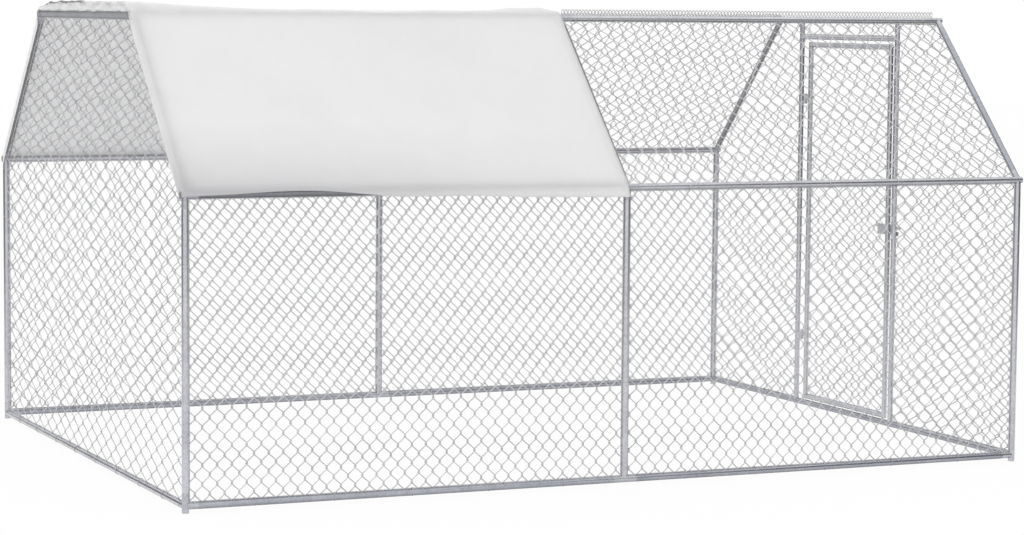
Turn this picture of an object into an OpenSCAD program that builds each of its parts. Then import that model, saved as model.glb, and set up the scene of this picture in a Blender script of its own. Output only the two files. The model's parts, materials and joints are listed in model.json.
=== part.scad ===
// Walk-in chicken run: a galvanised tube frame of two bays with a trapezoid roof,
// diamond netting on every face, a tarpaulin over one bay and a full-height door.
// X runs along the long side to the door end, Y to the back, Z up. The ground is z = 0.

/* [Run] */
// Length between the axes of the end posts
run_length = 3970; // [3000:10:6000]
// Width between the axes of the front and back posts
run_width = 2980; // [2600:10:3600]
// Height of the eave rails' axes
eave_height = 1300; // [1100:10:1500]
// Height of the crown rails' axes
crown_height = 2020; // [1900:10:2400]
// Width of the flat crown between its rails' axes
crown_width = 1540; // [1400:10:1800]
// Height of the sills' axes above the ground
sill_height = 29; // [20:1:60]

/* [Tubes] */
// Outside diameter of the frame tubes
tube_od = 30; // [27:0.5:38]
// Wall of every tube
tube_wall = 1.5; // [1:0.1:2]
// How far a connector reaches from its centre to the tube's end
hub_reach = 55; // [45:1:80]
// Length of a connector's spigot inside a tube
spigot_length = 50; // [30:1:80]
// Wall of a spigot
spigot_wall = 1.8; // [1.2:0.1:2.5]
// Gap between a spigot and the tube round it
spigot_gap = 0.2; // [0.1:0.05:0.4]
// How far an end connector's hub stands past its centre
hub_end = 20; // [18:1:30]
// How much slimmer a connector's arm is than its hub
arm_step = 1; // [0.6:0.1:2]

/* [Door] */
// Distance between the axes of the two door posts
doorway_width = 950; // [800:5:1100]
// How far the doorway's middle lies behind the run's middle
doorway_offset = 70; // [0:5:120]
// Outside diameter of the door posts
door_post_od = 26; // [25.5:0.5:29]
// Outside diameter of the leaf's stiles
leaf_od = 25; // [23:0.5:28]
// How much slimmer the header and the leaf's rails are than the tubes that they meet
rung_step = 1; // [0.6:0.1:2]
// Distance from the crown down to the header's axis
header_drop = 91; // [70:1:120]
// Clear gap between the hinge post and the leaf
hinge_gap = 70; // [60:1:90]
// Clear gap between the latch post and the leaf
latch_gap = 32; // [25:1:40]
// Clear gap between the header and the leaf
leaf_top_gap = 13; // [8:1:20]
// Clear gap between the sill and the leaf
leaf_bottom_gap = 6; // [5:1:30]

/* [Hinges and latch] */
// Diameter of a hinge pin
pin_d = 12; // [10:0.5:14]
// Wall of the eye round a hinge pin
eye_wall = 4; // [3:0.5:5]
// Height of an eye
eye_height = 34; // [26:1:50]
// Radial play of a pin in its eye and of the bolt in its guides
running_play = 0.08; // [0.03:0.01:0.1]
// Distance from the leaf's top and bottom rails to a hinge
hinge_inset = 300; // [200:10:400]
// Height of the latch bolt's axis
latch_height = 1000; // [800:10:1100]
// Diameter of the latch bolt
bolt_d = 10; // [8:0.5:12]
// Travel of the latch bolt
bolt_travel = 50; // [45:1:55]
// Thickness of the latch plate
plate_t = 3; // [2:0.5:5]
// Gap between the closed leaf's latch plate and the latch post
stop_gap = 0.4; // [0.3:0.1:1]

/* [Netting] */
// Thickness of the netting and width of its strands
strand = 3; // [2.5:0.5:6]
// Gap between the netting's edge and the tubes
net_gap = 0.3; // [0.2:0.1:1]
// Width of a diamond on the long sides and roof
side_cell_w = 204; // [180:2:260]
// Height of a diamond on the long sides and roof
side_cell_h = 240; // [200:2:300]
// Width of a diamond on the two ends
end_cell_w = 292; // [280:2:360]
// Height of a diamond on the two ends
end_cell_h = 160; // [160:2:220]
// How far the crown's netting springs up at its middle
crown_rise = 6; // [2:1:10]
// How far the crown netting's selvedge stands up along the rails of the open bay
selvedge_height = 40; // [25:1:60]
// Step from the crown netting's edge strand in to each side of that selvedge
selvedge_step = 0.5; // [0.3:0.1:1]

/* [Tarpaulin] */
// Thickness of the tarpaulin
tarp_t = 3; // [2:0.5:4]
// Gap between the tarpaulin and the tubes under it
tarp_gap = 0.5; // [0.4:0.1:1.5]
// Rise of the tarpaulin over the crown at its two edges
tarp_rise = 38; // [20:1:70]
// Rise of the tarpaulin over the crown halfway between its edges
tarp_middle_rise = 12; // [4:1:40]
// Sag of the tarpaulin between the rafters
tarp_sag = 8; // [0:1:10]
// How far the hem hangs below the eave rail's axis
hem_drop = 12; // [8:1:16]

/* [Hidden] */
$fn = 48;
eps = 1;
saddle_gap = 0.05;
tube_id = tube_od - 2 * tube_wall;
arm_od = tube_od - arm_step;
spigot_od = tube_id - 2 * spigot_gap;
spigot_id = spigot_od - 2 * spigot_wall;
hub_bore = tube_id;
foot_floor = 4;
end_x = run_length / 2;
side_y = run_width / 2;
crown_y = crown_width / 2;
slope_angle = atan2(crown_height - eave_height, side_y - crown_y);
slope_length = norm([crown_height - eave_height, side_y - crown_y]);

hinge_post_y = doorway_offset + doorway_width / 2;
latch_post_y = doorway_offset - doorway_width / 2;
header_z = crown_height - header_drop;
header_od = door_post_od - rung_step;
rail_od = leaf_od - rung_step;
hinge_stile_y = hinge_post_y - door_post_od / 2 - hinge_gap - leaf_od / 2;
latch_stile_y = latch_post_y + door_post_od / 2 + latch_gap + leaf_od / 2;
leaf_top_z = header_z - header_od / 2 - leaf_top_gap - leaf_od / 2;
leaf_bottom_z = sill_height + tube_od / 2 + leaf_bottom_gap + leaf_od / 2;

pin_y = (hinge_post_y - door_post_od / 2 + hinge_stile_y + leaf_od / 2) / 2;
pintle_arm_d = pin_d + 2;
eye_od = pin_d + 2 * eye_wall;
eye_bar_t = 6;
eye_bar_h = 0.7 * eye_height;
eye_lift = 0.6;
pin_length = pintle_arm_d / 2 + eye_lift + eye_height + 4;
hinge_heights = [leaf_bottom_z + hinge_inset, leaf_top_z - hinge_inset];

plate_x = door_post_od / 2 + stop_gap;
guide_wall = 3;
guide_od = bolt_d + 2 * running_play + 2 * guide_wall;
guide_length = 20;
bolt_x = plate_x + plate_t + guide_od / 2 + 1;
knob_d = 8;
knob_room = 6;
guide_spacing = guide_length + bolt_travel + knob_d + 3 * knob_room;
tail_guide_y = latch_stile_y + guide_spacing;
plate_tail = 14;
plate_tongue = 20;
plate_lower = 38;
plate_upper = 14;
tongue_h = 20;
pad_w = 0.6 * leaf_od;
bolt_tip_y = latch_stile_y - guide_length / 2 - 4;
bolt_tail_y = tail_guide_y + guide_length / 2 + bolt_travel + 5;
knob_y = tail_guide_y - guide_length / 2 - knob_d / 2 - knob_room;
knob_length = 18;
knob_ball_d = 13;
keeper_play = 0.6;

net_inset = tube_od / 2 + net_gap;
door_post_inset = door_post_od / 2 + net_gap;
header_inset = header_od / 2 + net_gap;
stile_inset = leaf_od / 2 + net_gap;
rail_inset = rail_od / 2 + net_gap;
least_gap_share = 0.04;
far = 2 * (run_length + run_width);
crown_net_y = crown_y - net_inset;

tarp_left = -end_x - hub_end + 2;
tarp_right = -4;
tarp_steps = 10;
bend_steps = 4;
slope_steps = 6;
crown_steps = 10;

galvanised = [0.68, 0.70, 0.72];
netting_grey = [0.78, 0.80, 0.81];
tarp_white = [0.93, 0.93, 0.93];

// Keeps the part of a convex outline on the side of a line that its normal points to
function keep_side(outline, at, normal) = [
    for (i = [0 : len(outline) - 1])
        let (
            a = outline[i],
            b = outline[(i + 1) % len(outline)],
            da = (a - at) * normal,
            db = (b - at) * normal
        )
        each concat(da >= 0 ? [a] : [], (da >= 0) != (db >= 0) ? [a + (b - a) * da / (da - db)] : [])
];

// Keeps the part of an outline inside every side of a list of [point, inward normal] pairs
function keep_inside(outline, sides, i = 0) =
    i == len(sides) || len(outline) == 0
        ? outline
        : keep_inside(keep_side(outline, sides[i][0], sides[i][1]), sides, i + 1);

// Sides of an anticlockwise outline, each moved inwards by its own inset
function inset_sides(outline, insets) = [
    for (i = [0 : len(outline) - 1])
        let (
            a = outline[i],
            b = outline[(i + 1) % len(outline)],
            normal = [a[1] - b[1], b[0] - a[0]] / norm(b - a)
        )
        [a + normal * insets[i], normal]
];

function inset_outline(sides) = keep_inside([[-far, -far], [far, -far], [far, far], [-far, far]], sides);

function area(outline) = len(outline) < 3 ? 0 : 0.5 * abs([
    for (i = [0 : len(outline) - 1])
        let (a = outline[i], b = outline[(i + 1) % len(outline)]) a[0] * b[1] - b[0] * a[1]
] * [for (p = outline) 1]);

// Number of half diamonds, always even, that come nearest to a cell size over a span
function half_cells(span, cell) = 2 * max(1, round(span / cell));

// Diamond gaps of a netting panel, whole across its box and cut off at its selvedge
function net_gaps(sides, cell_w, cell_h, box) =
    let (
        span = box[1] - box[0],
        columns = half_cells(span[0], cell_w),
        rows = half_cells(span[1], cell_h),
        half = [span[0] / columns, span[1] / rows],
        shrink = 1 - strand / 2 * norm(half) / (half[0] * half[1]),
        selvedge = [for (s = sides) [s[0] + s[1] * strand, s[1]]]
    )
    [
        for (i = [0 : columns], j = [0 : rows])
            if ((i + j) % 2 == 0)
                let (
                    at = box[0] + [i * half[0], j * half[1]],
                    corners = [[1, 0], [0, 1], [-1, 0], [0, -1]],
                    diamond = [for (c = corners) at + shrink * [c[0] * half[0], c[1] * half[1]]],
                    gap = keep_inside(diamond, selvedge)
                )
                if (area(gap) > least_gap_share * 2 * half[0] * half[1]) gap
    ];

function low_corner(outline) = [min([for (p = outline) p[0]]), min([for (p = outline) p[1]])];
function high_corner(outline) = [max([for (p = outline) p[0]]), max([for (p = outline) p[1]])];
function starts(lists, i = 0, so_far = 0) =
    i == len(lists) ? [] : concat([so_far], starts(lists, i + 1, so_far + len(lists[i])));

// Flat netting in the XY plane inside the axes of the tubes that carry it
module netting(axes, insets, cell_w, cell_h, thickness = strand) {
    sides = inset_sides(axes, insets);
    outline = inset_outline(sides);
    loops = concat([outline], net_gaps(sides, cell_w, cell_h, [low_corner(outline), high_corner(outline)]));
    first = starts(loops);
    color(netting_grey)
        translate([0, 0, -thickness / 2])
            linear_extrude(height = thickness)
                polygon(
                    [for (l = loops) each l],
                    [for (k = [0 : len(loops) - 1]) [for (i = [0 : len(loops[k]) - 1]) first[k] + i]]
                );
}

// Open tube from the origin up
module tube(length, od = tube_od) {
    color(galvanised)
        difference() {
            cylinder(d = od, h = length);
            translate([0, 0, -eps]) cylinder(d = od - 2 * tube_wall, h = length + 2 * eps);
        }
}

// Turns the Z axis to the X axis, the Y axis, or up a roof slope that rises towards +Y
module along_x() { rotate([0, 90, 0]) children(); }
module along_y() { rotate([-90, 0, 0]) children(); }
module up_slope() { rotate([slope_angle - 90, 0, 0]) children(); }

// Copies a child to the front and back, mirrored, so that it is drawn for the front
module front_and_back() {
    children();
    mirror([0, 1, 0]) children();
}

// Copies a child to the left and door ends, mirrored, so that it is drawn for the left end
module both_ends() {
    children();
    mirror([1, 0, 0]) children();
}

// Arm of a connector along Z with the spigot that a tube slides over
module arm() {
    cylinder(d = arm_od, h = hub_reach);
    cylinder(d = spigot_od, h = hub_reach + spigot_length);
}

module arm_bore() {
    translate([0, 0, hub_bore / 2 + tube_wall])
        cylinder(d = spigot_id, h = hub_reach + spigot_length);
}

// Hub of an end connector along X: closed at its outer end, with a spigot for the rail
module end_hub() {
    translate([-hub_end, 0, 0]) along_x() cylinder(d = tube_od, h = hub_end + hub_reach);
    along_x() cylinder(d = spigot_od, h = hub_reach + spigot_length);
}

module end_hub_bore() {
    translate([tube_wall - hub_end, 0, 0])
        along_x() cylinder(d = spigot_id, h = hub_end + hub_reach + spigot_length);
}

// Hub of a middle connector along X with a spigot each way
module middle_hub() {
    translate([-hub_reach, 0, 0]) along_x() cylinder(d = tube_od, h = 2 * hub_reach);
    translate([-hub_reach - spigot_length, 0, 0])
        along_x() cylinder(d = spigot_od, h = 2 * (hub_reach + spigot_length));
}

module middle_hub_bore() {
    translate([-hub_reach - spigot_length - eps, 0, 0])
        along_x() cylinder(d = spigot_id, h = 2 * (hub_reach + spigot_length + eps));
}

module post(x, front) {
    translate([x, front * side_y, sill_height + hub_reach])
        tube(eave_height - sill_height - 2 * hub_reach);
}

// Rail along one bay, at a height and a distance from the middle
module bay_rail(left, y, z) {
    translate([left ? hub_reach - end_x : hub_reach, y, z])
        along_x() tube(end_x - 2 * hub_reach);
}

module rafter_at(x) {
    translate([x, -side_y, eave_height])
        up_slope() translate([0, 0, hub_reach]) tube(slope_length - 2 * hub_reach);
}

module cross_tube(x, reach, z) {
    translate([x, hub_reach - reach, z]) along_y() tube(2 * (reach - hub_reach));
}

module post_front_left() { post(-end_x, -1); }
module post_front_middle() { post(0, -1); }
module post_front_right() { post(end_x, -1); }
module post_back_left() { post(-end_x, 1); }
module post_back_middle() { post(0, 1); }
module post_back_right() { post(end_x, 1); }

module sill_front_left() { bay_rail(true, -side_y, sill_height); }
module sill_front_right() { bay_rail(false, -side_y, sill_height); }
module sill_back_left() { bay_rail(true, side_y, sill_height); }
module sill_back_right() { bay_rail(false, side_y, sill_height); }
module sill_left_end() { cross_tube(-end_x, side_y, sill_height); }
module sill_door_end() { cross_tube(end_x, side_y, sill_height); }

module eave_front_left() { bay_rail(true, -side_y, eave_height); }
module eave_front_right() { bay_rail(false, -side_y, eave_height); }
module eave_back_left() { bay_rail(true, side_y, eave_height); }
module eave_back_right() { bay_rail(false, side_y, eave_height); }

module rafter_front_left() { rafter_at(-end_x); }
module rafter_front_middle() { rafter_at(0); }
module rafter_front_right() { rafter_at(end_x); }
module rafter_back_left() { mirror([0, 1, 0]) rafter_at(-end_x); }
module rafter_back_middle() { mirror([0, 1, 0]) rafter_at(0); }
module rafter_back_right() { mirror([0, 1, 0]) rafter_at(end_x); }

module crown_rail_front_left() { bay_rail(true, -crown_y, crown_height); }
module crown_rail_front_right() { bay_rail(false, -crown_y, crown_height); }
module crown_rail_back_left() { bay_rail(true, crown_y, crown_height); }
module crown_rail_back_right() { bay_rail(false, crown_y, crown_height); }

module crown_tie_left() { cross_tube(-end_x, crown_y, crown_height); }
module crown_tie_middle() { cross_tube(0, crown_y, crown_height); }
module crown_tie_door_end() { cross_tube(end_x, crown_y, crown_height); }

// Corner foot: the hub stands on the ground and takes the post and two sills
module foot_corner() {
    color(galvanised)
        translate([-end_x, -side_y, sill_height])
            difference() {
                union() {
                    translate([0, 0, -sill_height]) cylinder(d = tube_od, h = sill_height + hub_reach);
                    cylinder(d = spigot_od, h = hub_reach + spigot_length);
                    along_x() arm();
                    along_y() arm();
                }
                translate([0, 0, foot_floor - sill_height])
                    cylinder(d = spigot_id, h = sill_height + hub_reach + spigot_length);
                along_x() arm_bore();
                along_y() arm_bore();
            }
}

module foot_middle() {
    color(galvanised)
        translate([0, -side_y, sill_height])
            difference() {
                union() {
                    middle_hub();
                    arm();
                }
                middle_hub_bore();
                arm_bore();
            }
}

// Arms of an eave connector: the post below and the rafter up the slope
module eave_arms() {
    rotate([180, 0, 0]) children();
    up_slope() children();
}

// Arms of a crown connector: the rafter down the slope and the tie across
module crown_arms() {
    up_slope() rotate([180, 0, 0]) children();
    along_y() children();
}

module eave_corner() {
    color(galvanised)
        translate([-end_x, -side_y, eave_height])
            difference() {
                union() {
                    end_hub();
                    eave_arms() arm();
                }
                end_hub_bore();
                eave_arms() arm_bore();
            }
}

module eave_middle() {
    color(galvanised)
        translate([0, -side_y, eave_height])
            difference() {
                union() {
                    middle_hub();
                    eave_arms() arm();
                }
                middle_hub_bore();
                eave_arms() arm_bore();
            }
}

module crown_corner() {
    color(galvanised)
        translate([-end_x, -crown_y, crown_height])
            difference() {
                union() {
                    end_hub();
                    crown_arms() arm();
                }
                end_hub_bore();
                crown_arms() arm_bore();
            }
}

module crown_middle() {
    color(galvanised)
        translate([0, -crown_y, crown_height])
            difference() {
                union() {
                    middle_hub();
                    crown_arms() arm();
                }
                middle_hub_bore();
                crown_arms() arm_bore();
            }
}

module foot_corners() { both_ends() front_and_back() foot_corner(); }
module foot_middles() { front_and_back() foot_middle(); }
module eave_corners() { both_ends() front_and_back() eave_corner(); }
module eave_middles() { front_and_back() eave_middle(); }
module crown_corners() { both_ends() front_and_back() crown_corner(); }
module crown_middles() { front_and_back() crown_middle(); }

// Door post, its ends cut to fit round the sill and the crown tie
module door_post(y) {
    color(galvanised)
        translate([end_x, y, 0])
            difference() {
                translate([0, 0, sill_height]) tube(crown_height - sill_height, door_post_od);
                for (z = [sill_height, crown_height])
                    translate([0, -tube_od, z])
                        along_y() cylinder(d = tube_od + 2 * saddle_gap, h = 2 * tube_od);
            }
}

module door_post_hinge() { door_post(hinge_post_y); }
module door_post_latch() { door_post(latch_post_y); }

// Level tube between two upright tubes, its ends cut to fit round them
module rung(y0, y1, z, upright_od) {
    color(galvanised)
        translate([end_x, 0, z])
            difference() {
                translate([0, y0, 0]) along_y() tube(y1 - y0, upright_od - rung_step);
                for (y = [y0, y1])
                    translate([0, y, -upright_od])
                        cylinder(d = upright_od + 2 * saddle_gap, h = 2 * upright_od);
            }
}

module door_header() { rung(latch_post_y, hinge_post_y, header_z, door_post_od); }

// Upright of the leaf, closed by the wall thickness at both ends
module stile(y) {
    z0 = leaf_bottom_z - leaf_od / 2;
    z1 = leaf_top_z + leaf_od / 2;
    color(galvanised)
        translate([end_x, y, z0])
            difference() {
                cylinder(d = leaf_od, h = z1 - z0);
                translate([0, 0, tube_wall])
                    cylinder(d = leaf_od - 2 * tube_wall, h = z1 - z0 - 2 * tube_wall);
            }
}

module leaf_hinge_stile() { stile(hinge_stile_y); }
module leaf_latch_stile() { stile(latch_stile_y); }
module leaf_top_rail() { rung(latch_stile_y, hinge_stile_y, leaf_top_z, leaf_od); }
module leaf_bottom_rail() { rung(latch_stile_y, hinge_stile_y, leaf_bottom_z, leaf_od); }

// Pin on an arm that is welded to the hinge post
module hinge_pintles() {
    color(galvanised)
        for (z = hinge_heights)
            translate([end_x, 0, z])
                difference() {
                    union() {
                        translate([0, pin_y - pintle_arm_d / 2, 0])
                            along_y() cylinder(d = pintle_arm_d, h = hinge_post_y - pin_y + pintle_arm_d / 2);
                        translate([0, pin_y, 0]) cylinder(d = pin_d, h = pin_length);
                    }
                    translate([0, hinge_post_y, -door_post_od])
                        cylinder(d = door_post_od + 2 * saddle_gap, h = 2 * door_post_od);
                }
}

// Eye on a bar that is welded to the leaf
module hinge_eyes() {
    color(galvanised)
        for (z = hinge_heights)
            translate([end_x, 0, z + pintle_arm_d / 2 + eye_lift])
                difference() {
                    union() {
                        translate([0, pin_y, 0]) cylinder(d = eye_od, h = eye_height);
                        translate([-eye_bar_t / 2, hinge_stile_y, (eye_height - eye_bar_h) / 2])
                            cube([eye_bar_t, pin_y - hinge_stile_y, eye_bar_h]);
                    }
                    translate([0, pin_y, -eps])
                        cylinder(d = pin_d + 2 * running_play, h = eye_height + 2 * eps);
                    translate([0, hinge_stile_y, -leaf_od])
                        cylinder(d = leaf_od + 2 * saddle_gap, h = eye_height + 2 * leaf_od);
                }
}

// Short barrel along Y on a block that reaches back to a plate or post at x = back
module barrel(y, back) {
    translate([bolt_x, y - guide_length / 2, 0]) along_y() cylinder(d = guide_od, h = guide_length);
    translate([back, y - guide_length / 2, -guide_od / 2 + 1])
        cube([bolt_x - back, guide_length, guide_od - 2]);
}

// Plate on the latch stile with the bolt's two guides and the tongue that stops the leaf at the post
module latch_guide() {
    color(galvanised)
        translate([end_x, 0, latch_height])
            difference() {
                union() {
                    translate([plate_x, latch_stile_y - guide_length / 2, -plate_lower])
                        cube([plate_t, guide_spacing + guide_length + plate_tail, plate_lower + plate_upper]);
                    translate([plate_x, latch_post_y - plate_tongue, -plate_lower])
                        cube([plate_t, latch_stile_y - latch_post_y + plate_tongue, tongue_h]);
                    translate([leaf_od / 4, latch_stile_y - pad_w / 2, -plate_lower])
                        cube([plate_x + plate_t / 2 - leaf_od / 4, pad_w, plate_lower + plate_upper]);
                    barrel(latch_stile_y, plate_x + plate_t / 2);
                    barrel(tail_guide_y, plate_x + plate_t / 2);
                }
                translate([0, latch_stile_y, -2 * plate_lower])
                    cylinder(d = leaf_od + 2 * saddle_gap, h = 4 * plate_lower);
                translate([bolt_x, latch_stile_y - guide_length, 0])
                    along_y()
                        cylinder(d = bolt_d + 2 * running_play, h = guide_spacing + 2 * guide_length);
            }
}

// Round bolt with a knob between its guides, drawn back
module latch_bolt() {
    color(galvanised)
        translate([end_x + bolt_x, 0, latch_height]) {
            translate([0, bolt_tip_y, 0]) along_y() cylinder(d = bolt_d, h = bolt_tail_y - bolt_tip_y);
            translate([0, knob_y, 0]) along_x() cylinder(d = knob_d, h = knob_length);
            translate([knob_length, knob_y, 0]) sphere(d = knob_ball_d);
        }
}

// Socket on the latch post that the bolt slides into
module latch_keeper() {
    color(galvanised)
        translate([end_x, 0, latch_height])
            difference() {
                barrel(latch_post_y, door_post_od / 4);
                translate([0, latch_post_y, -2 * guide_od])
                    cylinder(d = door_post_od + 2 * saddle_gap, h = 4 * guide_od);
                translate([bolt_x, latch_post_y - guide_length, 0])
                    along_y() cylinder(d = bolt_d + 2 * keeper_play, h = 2 * guide_length);
            }
}

// Netting of one bay of a long side, drawn upright in the XZ plane
module side_net(left, front) {
    x0 = left ? -end_x : 0;
    axes = [[x0, sill_height], [x0 + end_x, sill_height], [x0 + end_x, eave_height], [x0, eave_height]];
    translate([0, front * side_y, 0])
        rotate([90, 0, 0]) netting(axes, [for (p = axes) net_inset], side_cell_w, side_cell_h);
}

module net_front_left() { side_net(true, -1); }
module net_front_right() { side_net(false, -1); }
module net_back_left() { side_net(true, 1); }
module net_back_right() { side_net(false, 1); }

// Netting across the run, with the outline given as [y, z] points
module end_net(x, axes, insets) {
    translate([x, 0, 0]) rotate([90, 0, 90]) netting(axes, insets, end_cell_w, end_cell_h);
}

module net_left_end() {
    axes = [
        [-side_y, sill_height], [side_y, sill_height], [side_y, eave_height],
        [crown_y, crown_height], [-crown_y, crown_height], [-side_y, eave_height]
    ];
    end_net(-end_x, axes, [for (p = axes) net_inset]);
}

module net_door_end_front() {
    axes = [
        [-side_y, sill_height], [latch_post_y, sill_height], [latch_post_y, crown_height],
        [-crown_y, crown_height], [-side_y, eave_height]
    ];
    end_net(end_x, axes, [net_inset, door_post_inset, net_inset, net_inset, net_inset]);
}

module net_door_end_back() {
    axes = [
        [hinge_post_y, sill_height], [side_y, sill_height], [side_y, eave_height],
        [crown_y, crown_height], [hinge_post_y, crown_height]
    ];
    end_net(end_x, axes, [net_inset, net_inset, net_inset, net_inset, door_post_inset]);
}

module net_over_door() {
    axes = [
        [latch_post_y, header_z], [hinge_post_y, header_z],
        [hinge_post_y, crown_height], [latch_post_y, crown_height]
    ];
    end_net(end_x, axes, [header_inset, door_post_inset, net_inset, door_post_inset]);
}

module net_leaf() {
    axes = [
        [latch_stile_y, leaf_bottom_z], [hinge_stile_y, leaf_bottom_z],
        [hinge_stile_y, leaf_top_z], [latch_stile_y, leaf_top_z]
    ];
    end_net(end_x, axes, [rail_inset, stile_inset, rail_inset, stile_inset]);
}

// Netting of both bays of the front roof slope, in the rafters' plane
module slope_net() {
    for (x0 = [-end_x, 0]) {
        axes = [[x0, 0], [x0 + end_x, 0], [x0 + end_x, slope_length], [x0, slope_length]];
        translate([0, -side_y, eave_height])
            rotate([slope_angle, 0, 0])
                netting(axes, [for (p = axes) net_inset], side_cell_w, side_cell_h);
    }
}

module net_front_slope() { slope_net(); }
module net_back_slope() { mirror([0, 1, 0]) slope_net(); }

// Front half of one bay's crown netting, which springs up a little from its rail to the middle
module crown_net(x0) {
    panel = norm([crown_rise, crown_net_y]) - net_gap;
    axes = [[x0, 0], [x0 + end_x, 0], [x0 + end_x, panel], [x0, panel]];
    translate([0, -crown_net_y, crown_height])
        rotate([atan2(crown_rise, crown_net_y), 0, 0])
            netting(axes, [0, net_inset, 0, net_inset], side_cell_w, side_cell_h);
}

// Edge of the open bay's crown netting, bent up from the edge strand beside its rail
module crown_selvedge() {
    axes = [[0, 0], [end_x, 0], [end_x, selvedge_height], [0, selvedge_height]];
    side_inset = net_inset + strand;
    thickness = strand - 2 * selvedge_step;
    translate([0, strand / 2 - crown_net_y, crown_height])
        rotate([90, 0, 0])
            netting(axes, [0, side_inset, 0, side_inset], side_cell_w / 2, selvedge_height, thickness);
}

module net_crown() {
    front_and_back() {
        crown_net(-end_x);
        union() {
            crown_net(0);
            crown_selvedge();
        }
    }
}

// Points of the tarpaulin's front half, from the hem to the middle of the crown, at a height over the tubes
function tarp_half(over, dip, rise) =
    let (r = tube_od / 2 + over)
    concat(
        [[-side_y - r, eave_height - hem_drop]],
        [
            for (i = [0 : bend_steps])
                let (a = 180 - i / bend_steps * (90 - slope_angle))
                [r * cos(a) - side_y, r * sin(a) + eave_height]
        ],
        [
            for (i = [1 : slope_steps - 1])
                let (t = i / slope_steps, lift = r - dip * sin(180 * t))
                [
                    -side_y + t * slope_length * cos(slope_angle) - lift * sin(slope_angle),
                    eave_height + t * slope_length * sin(slope_angle) + lift * cos(slope_angle)
                ]
        ],
        [
            for (i = [0 : bend_steps])
                let (a = 90 + slope_angle * (1 - i / bend_steps))
                [r * cos(a) - crown_y, r * sin(a) + crown_height]
        ],
        [
            for (i = [1 : crown_steps / 2])
                let (y = crown_y * (2 * i / crown_steps - 1))
                [y, crown_height + r + rise * (1 - pow(y / crown_y, 4))]
        ]
    );

function tarp_section(over, dip, rise) =
    let (half = tarp_half(over, dip, rise), n = len(half))
    concat(half, [for (i = [1 : n - 1]) let (p = half[n - 1 - i]) [-p[0], p[1]]]);

// Tarpaulin laid over the left bay from eave to eave
module roof_tarp() {
    rings = [
        for (k = [0 : tarp_steps])
            let (
                s = k / tarp_steps,
                x = tarp_left + s * (tarp_right - tarp_left),
                dip = tarp_sag * sin(180 * s),
                rise = tarp_middle_rise + (tarp_rise - tarp_middle_rise) * pow(cos(180 * s), 2),
                under = tarp_section(tarp_gap, dip, rise),
                n = len(under),
                top = tarp_section(tarp_gap + tarp_t, dip, rise)
            )
            concat([for (p = under) [x, p[0], p[1]]], [for (i = [1 : n]) [x, top[n - i][0], top[n - i][1]]])
    ];
    n = len(rings[0]);
    strip = n / 2;
    bands = [
        for (k = [0 : tarp_steps - 1], i = [0 : n - 1])
            let (a = k * n + i, b = k * n + (i + 1) % n, c = b + n, d = a + n)
            each [[a, b, c], [a, c, d]]
    ];
    ends = [
        for (i = [0 : strip - 2])
            let (j = n - 1 - i, last = tarp_steps * n)
            each [
                [i, j, j - 1], [i, j - 1, i + 1],
                [last + i, last + j - 1, last + j], [last + i, last + i + 1, last + j - 1]
            ]
    ];
    color(tarp_white) polyhedron([for (r = rings) each r], concat(bands, ends), convexity = 6);
}

post_front_left();
post_front_middle();
post_front_right();
post_back_left();
post_back_middle();
post_back_right();
sill_front_left();
sill_front_right();
sill_back_left();
sill_back_right();
sill_left_end();
sill_door_end();
eave_front_left();
eave_front_right();
eave_back_left();
eave_back_right();
rafter_front_left();
rafter_front_middle();
rafter_front_right();
rafter_back_left();
rafter_back_middle();
rafter_back_right();
crown_rail_front_left();
crown_rail_front_right();
crown_rail_back_left();
crown_rail_back_right();
crown_tie_left();
crown_tie_middle();
crown_tie_door_end();
foot_corners();
foot_middles();
eave_corners();
eave_middles();
crown_corners();
crown_middles();
door_post_hinge();
door_post_latch();
door_header();
leaf_hinge_stile();
leaf_latch_stile();
leaf_top_rail();
leaf_bottom_rail();
hinge_pintles();
hinge_eyes();
latch_guide();
latch_bolt();
latch_keeper();
net_front_left();
net_front_right();
net_back_left();
net_back_right();
net_left_end();
net_door_end_front();
net_door_end_back();
net_over_door();
net_leaf();
net_front_slope();
net_back_slope();
net_crown();
roof_tarp();
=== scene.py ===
import json
import math

import bpy
import numpy as np
from mathutils import Matrix, Vector


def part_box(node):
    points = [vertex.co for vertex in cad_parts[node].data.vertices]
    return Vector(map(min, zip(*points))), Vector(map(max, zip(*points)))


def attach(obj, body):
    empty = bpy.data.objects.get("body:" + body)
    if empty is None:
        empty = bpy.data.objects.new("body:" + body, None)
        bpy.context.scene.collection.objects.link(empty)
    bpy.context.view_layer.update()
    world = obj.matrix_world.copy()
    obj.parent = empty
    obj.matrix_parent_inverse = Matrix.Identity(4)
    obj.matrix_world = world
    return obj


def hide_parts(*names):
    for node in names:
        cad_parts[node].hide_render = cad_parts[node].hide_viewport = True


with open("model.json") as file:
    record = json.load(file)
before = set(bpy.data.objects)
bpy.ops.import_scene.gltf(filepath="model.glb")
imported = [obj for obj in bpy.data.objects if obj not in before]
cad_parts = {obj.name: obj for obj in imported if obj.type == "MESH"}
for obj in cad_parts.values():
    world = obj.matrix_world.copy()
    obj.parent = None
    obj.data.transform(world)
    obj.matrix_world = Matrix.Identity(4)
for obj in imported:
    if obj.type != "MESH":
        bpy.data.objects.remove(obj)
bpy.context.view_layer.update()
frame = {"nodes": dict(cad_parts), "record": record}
print("frame loaded with", len(frame["nodes"]), "nodes")


# Measures of the run, read from the frame

def middleOf(node):
    low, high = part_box(node)
    return (Vector(low) + Vector(high)) / 2


def halfSize(node):
    low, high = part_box(node)
    return (Vector(high) - Vector(low)) / 2


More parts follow.
